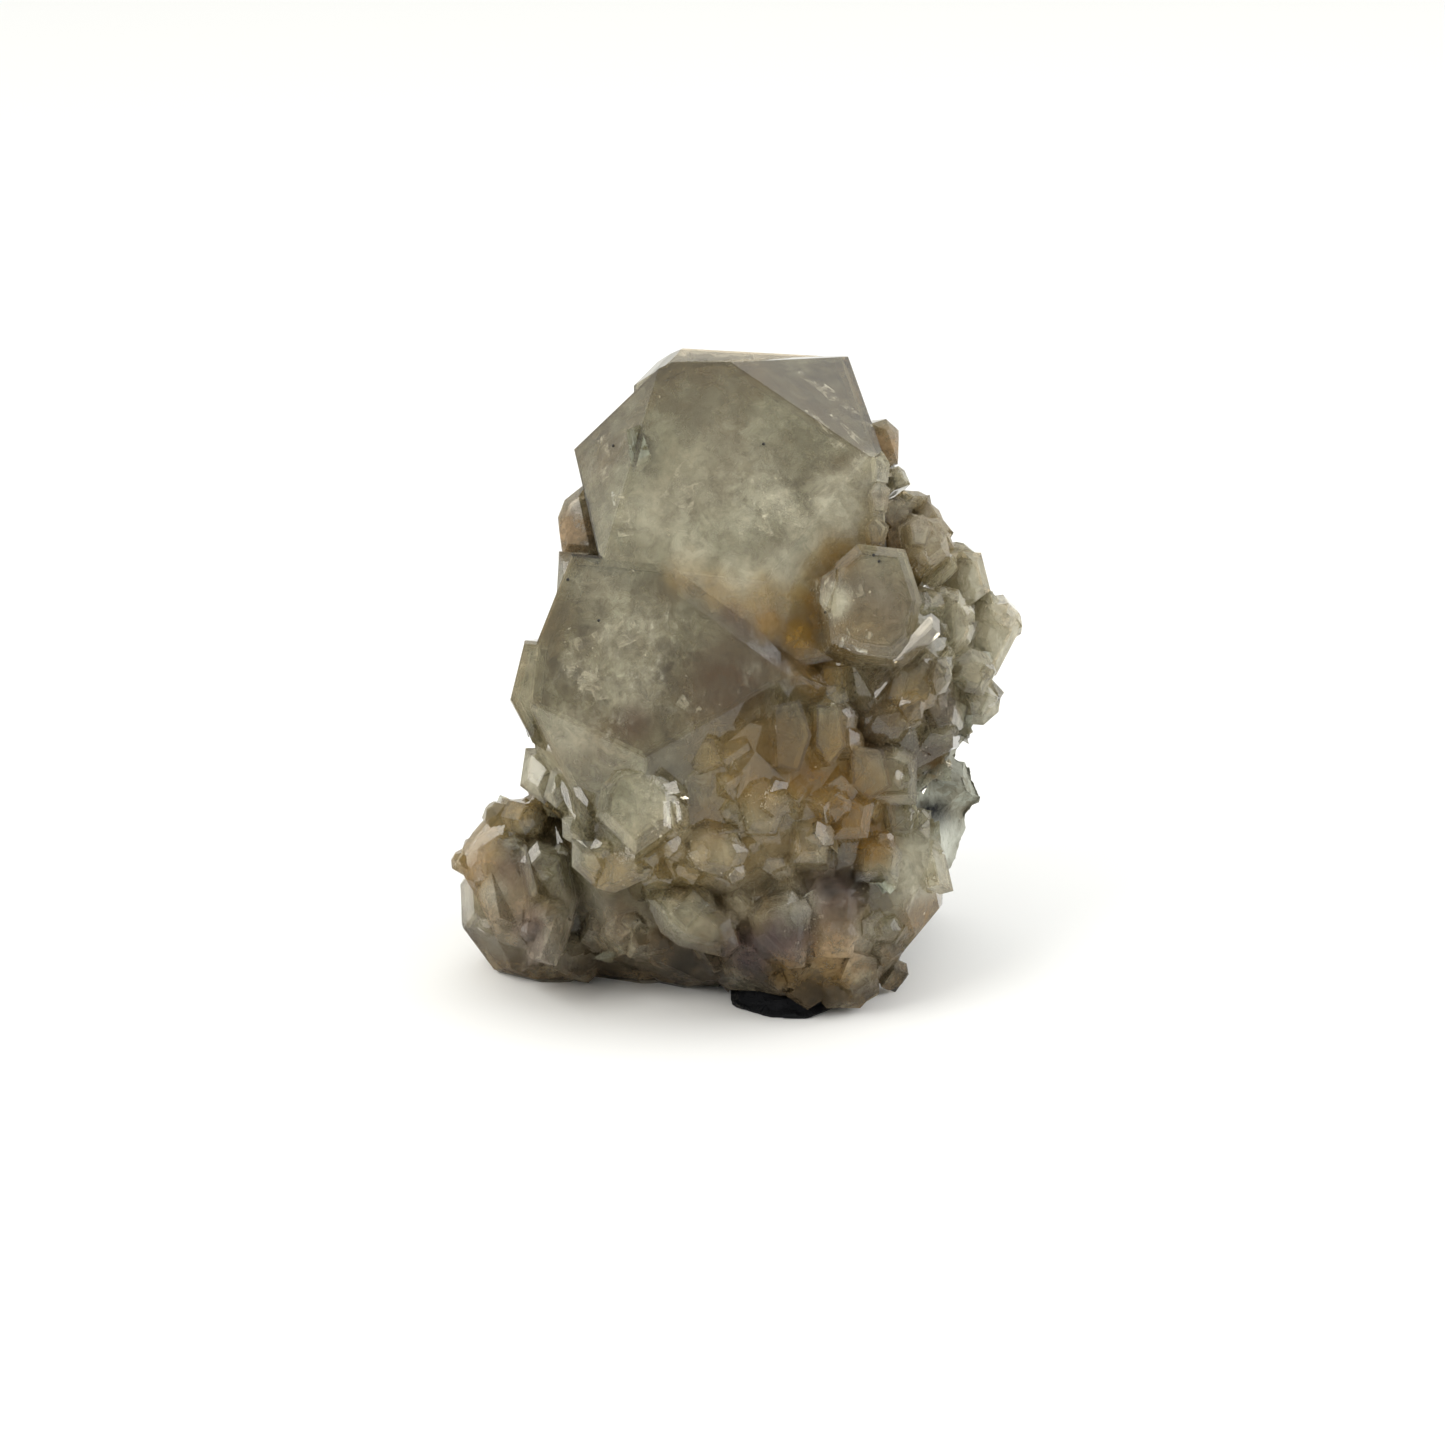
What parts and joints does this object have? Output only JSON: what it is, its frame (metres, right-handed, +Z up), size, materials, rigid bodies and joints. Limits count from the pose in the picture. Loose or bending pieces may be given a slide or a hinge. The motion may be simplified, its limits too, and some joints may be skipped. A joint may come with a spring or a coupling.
{
  "type": "citrine crystal cluster",
  "caption": "Cluster of cloudy smoky-citrine quartz crystals, big ones over a crust of small ones, grown on a lump of host rock with a flat underside.",
  "frame": {"origin": "middle of the bounding box's underside, on the flat base", "axes": "+Z up from the base, -Y to the front, where the big crystals show their tip faces, +X to the right as seen from the front"},
  "size_m": [0.0612, 0.0494, 0.067],
  "materials": {
    "quartz": "glossy natural crystal faces, cloudy inside",
    "rock": "rough broken rock"
  },
  "bodies": {
    "root": {"quartz_cluster": "quartz", "matrix": "rock"}
  },
  "joints": []
}
